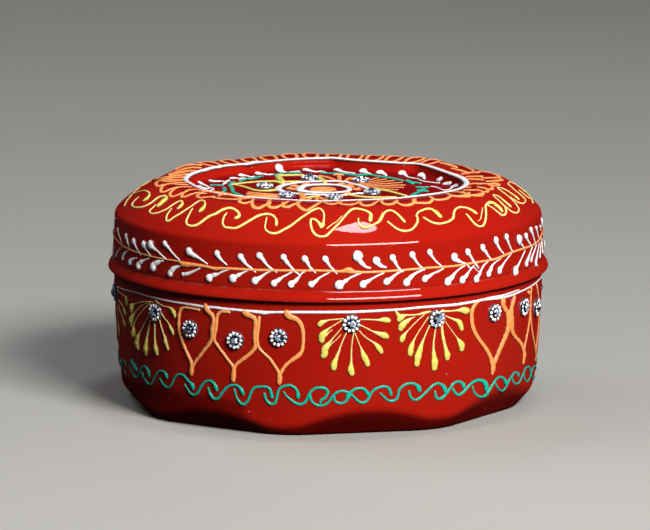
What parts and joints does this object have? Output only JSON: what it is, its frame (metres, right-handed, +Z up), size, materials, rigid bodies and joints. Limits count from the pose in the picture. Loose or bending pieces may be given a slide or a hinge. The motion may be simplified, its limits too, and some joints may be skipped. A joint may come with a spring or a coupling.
{
  "type": "decorated steel box",
  "caption": "Round pressed steel keepsake tin with an eight-sided base and lid plateau, a lift-off lid with a rolled hem, and glued crystal ornaments.",
  "frame": {"origin": "centre of the underside, at the level of the base that the box stands on", "axes": "+Z up along the axis of the round wall; the pictured front faces -Y; X and Y are equal widths"},
  "size_m": [0.18, 0.18, 0.0911],
  "materials": {
    "body_enamel": "glossy red enamel on steel sheet, bare brushed steel inside",
    "lid_enamel": "glossy red enamel on steel sheet, bare brushed steel inside",
    "setting_metal": "bright plated metal cup",
    "centre_crystal": "cut clear crystal with a silvered back",
    "ring_crystal": "small cut clear crystals with silvered backs"
  },
  "bodies": {
    "box_body": {"body_shell": "body_enamel", "fan_settings": "setting_metal", "fan_centre_crystals": "centre_crystal", "fan_ring_crystals": "ring_crystal", "heart_settings": "setting_metal", "heart_centre_crystals": "centre_crystal", "heart_ring_crystals": "ring_crystal"},
    "lid": {"lid_shell": "lid_enamel", "lid_settings": "setting_metal", "lid_centre_crystals": "centre_crystal", "lid_ring_crystals": "ring_crystal"}
  },
  "joints": [
    {"name": "lid_lift", "type": "slide", "parent": "box_body", "child": "lid", "axis": [0, 0, 1], "range_m": [0, 0.08]}
  ]
}
